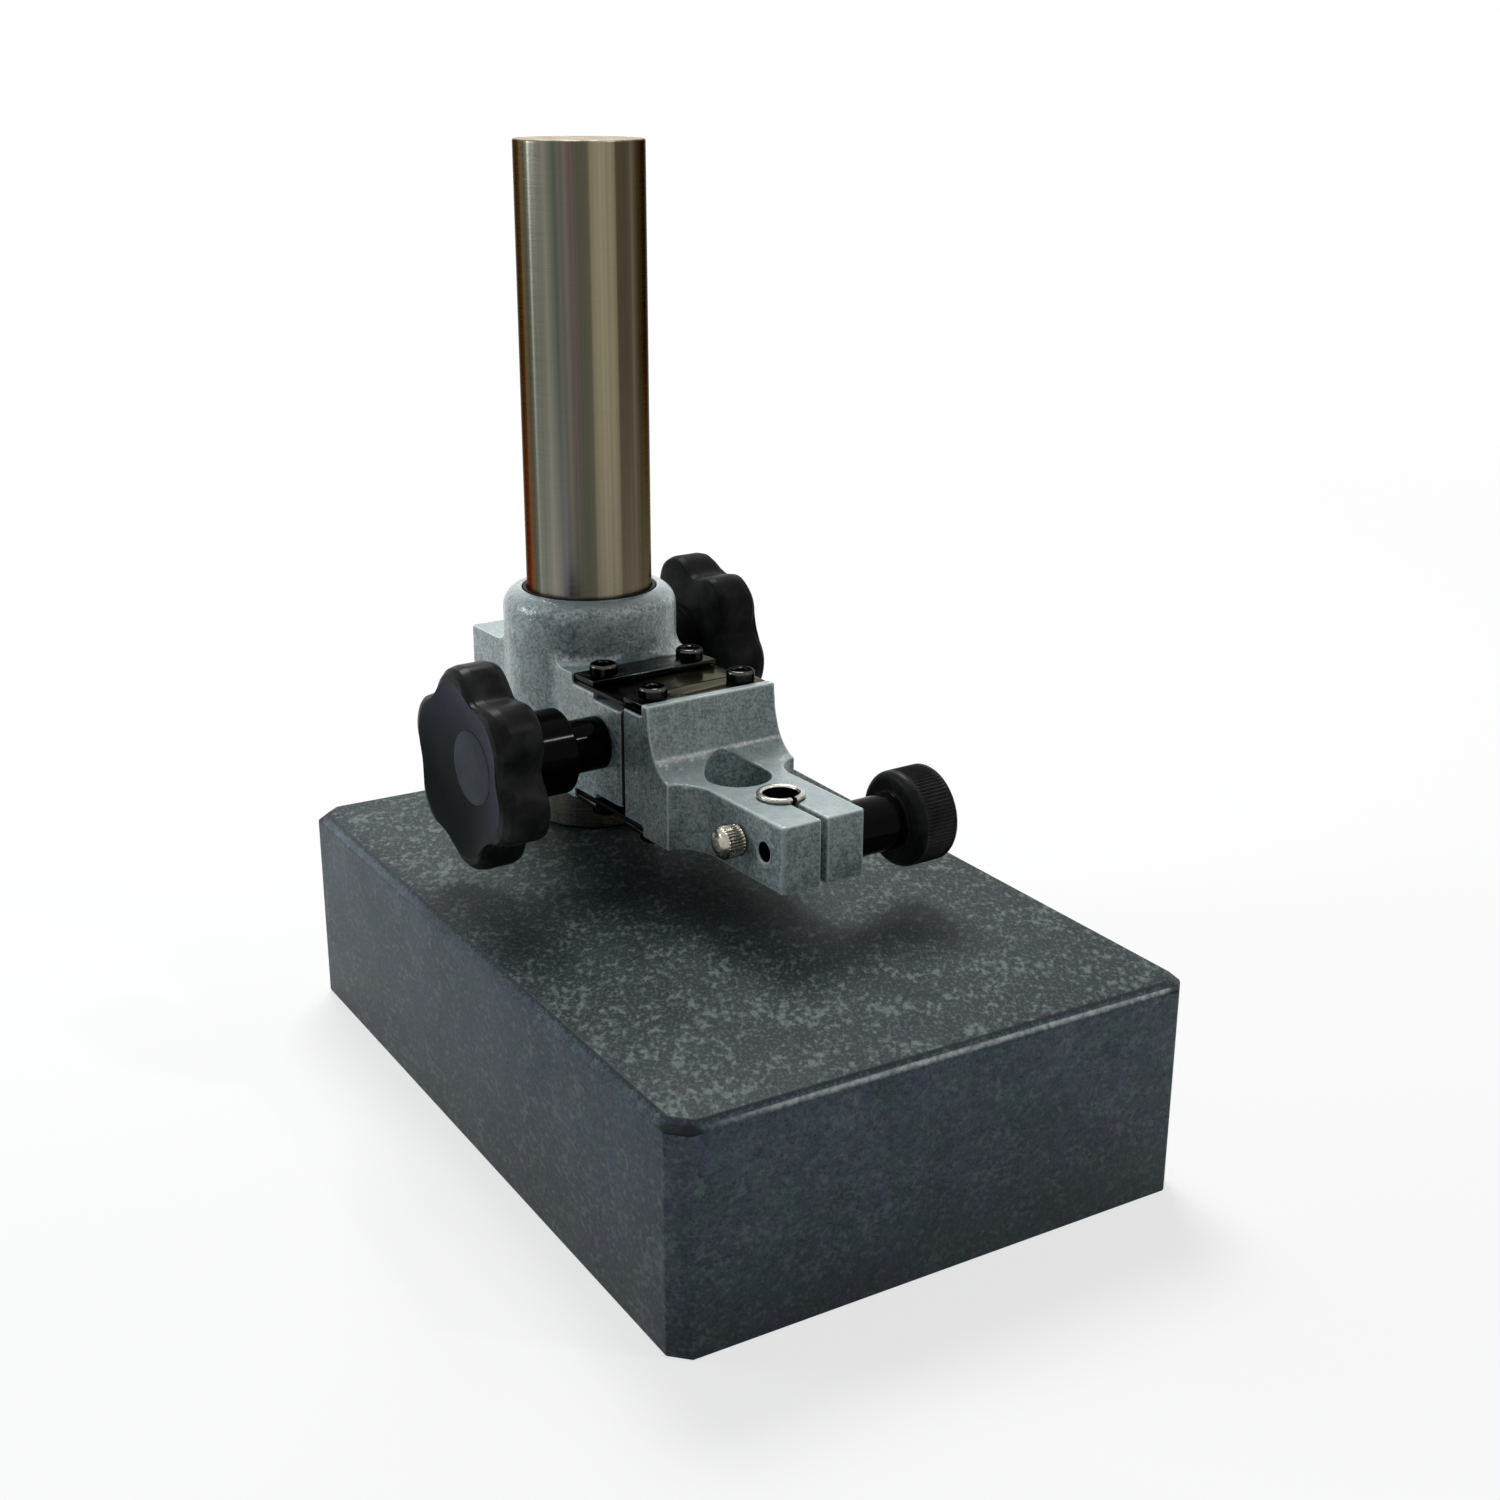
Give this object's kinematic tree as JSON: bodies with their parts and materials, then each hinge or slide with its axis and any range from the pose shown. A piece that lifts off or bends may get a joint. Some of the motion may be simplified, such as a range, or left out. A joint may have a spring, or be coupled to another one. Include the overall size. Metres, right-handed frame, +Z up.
{
  "type": "granite comparator stand",
  "caption": "Granite comparator stand with a steel column and a clamping bracket whose fine-adjusting front arm holds a dial gauge by its stem.",
  "frame": {"origin": "centre of the granite block's underside", "axes": "+X to the right along the block's short front face, +Y from the front towards the column, +Z up along the column"},
  "size_m": [0.15, 0.245, 0.2583],
  "materials": {
    "granite": "lapped dark grey-green granite with pale speckle",
    "ground_steel": "ground and polished steel",
    "hammered_paint": "light blue-grey hammered enamel on a casting",
    "black_plastic": "moulded black plastic",
    "black_oxide": "black oxide",
    "spring_steel": "dark polished spring steel",
    "nickel": "bright nickel plate",
    "zinc_steel": "zinc plated steel"
  },
  "bodies": {
    "base": {"granite_base": "granite", "column": "ground_steel", "column_bolt": "zinc_steel", "column_bolt_washer": "zinc_steel"},
    "liner": {"collar_liner": "black_plastic"},
    "bracket": {"bracket": "hammered_paint", "upper_strip_rear": "spring_steel", "lower_strip_rear": "spring_steel", "upper_screw_rear_left": "black_oxide", "upper_screw_rear_right": "black_oxide", "lower_screw_rear_left": "black_oxide", "lower_screw_rear_right": "black_oxide", "feed_sleeve": "black_plastic", "clamp_spacer": "black_plastic"},
    "springs": {"upper_leaf_spring": "spring_steel", "lower_leaf_spring": "spring_steel"},
    "front_arm": {"front_arm": "hammered_paint", "upper_strip_front": "spring_steel", "lower_strip_front": "spring_steel", "upper_screw_front_left": "black_oxide", "upper_screw_front_right": "black_oxide", "lower_screw_front_left": "black_oxide", "lower_screw_front_right": "black_oxide", "stem_bush": "nickel"},
    "fine_feed": {"feed_spindle": "zinc_steel", "feed_knob": "black_plastic", "feed_knob_cap": "black_plastic", "feed_knob_grub": "black_oxide", "feed_ring": "zinc_steel"},
    "column_clamp": {"clamp_screw": "zinc_steel", "clamp_knob": "black_plastic", "clamp_knob_cap": "black_plastic"},
    "stem_clamp": {"stem_clamp_screw": "black_oxide", "stem_clamp_knob": "black_plastic"},
    "set_screw": {"bush_set_screw": "nickel"}
  },
  "joints": [
    {"name": "column_slide", "type": "slide", "parent": "base", "child": "liner", "axis": [0, 0, 1], "range_m": [-0.0083, 0.126]},
    {"name": "column_swivel", "type": "hinge", "parent": "liner", "child": "bracket", "pos_m": [0, 0.0707, 0.0757], "axis": [0, 0, 1], "continuous": true},
    {"name": "fine_feed_lift", "type": "slide", "parent": "bracket", "child": "front_arm", "axis": [0, 0, 1], "range_m": [-0.00045, 0.00045]},
    {"name": "fine_feed_turn", "type": "hinge", "parent": "bracket", "child": "fine_feed", "pos_m": [0.00233, 0.03027, 0.097], "axis": [0.9983, 0.0576, 0], "range_deg": [-60, 60]},
    {"name": "spring_flex", "type": "slide", "parent": "bracket", "child": "springs", "axis": [0, 0, 1], "range_m": [-0.00023, 0.00023]},
    {"name": "column_clamp_turn", "type": "hinge", "parent": "bracket", "child": "column_clamp", "pos_m": [-0.00159, 0.09825, 0.0987], "axis": [0.9983, 0.0576, 0], "range_deg": [0, 180]},
    {"name": "stem_clamp_turn", "type": "hinge", "parent": "front_arm", "child": "stem_clamp", "pos_m": [0.00636, -0.03952, 0.08505], "axis": [0.9983, 0.0576, 0], "range_deg": [0, 180]},
    {"name": "set_screw_turn", "type": "hinge", "parent": "front_arm", "child": "set_screw", "pos_m": [0.00572, -0.02854, 0.08505], "axis": [-0.9983, -0.0576, 0], "range_deg": [0, 180]}
  ],
  "couplings": [
    {"joint": "fine_feed_turn", "follows": "fine_feed_lift", "rad_per_m": -2325.6},
    {"joint": "spring_flex", "follows": "fine_feed_lift", "ratio": 0.5}
  ]
}
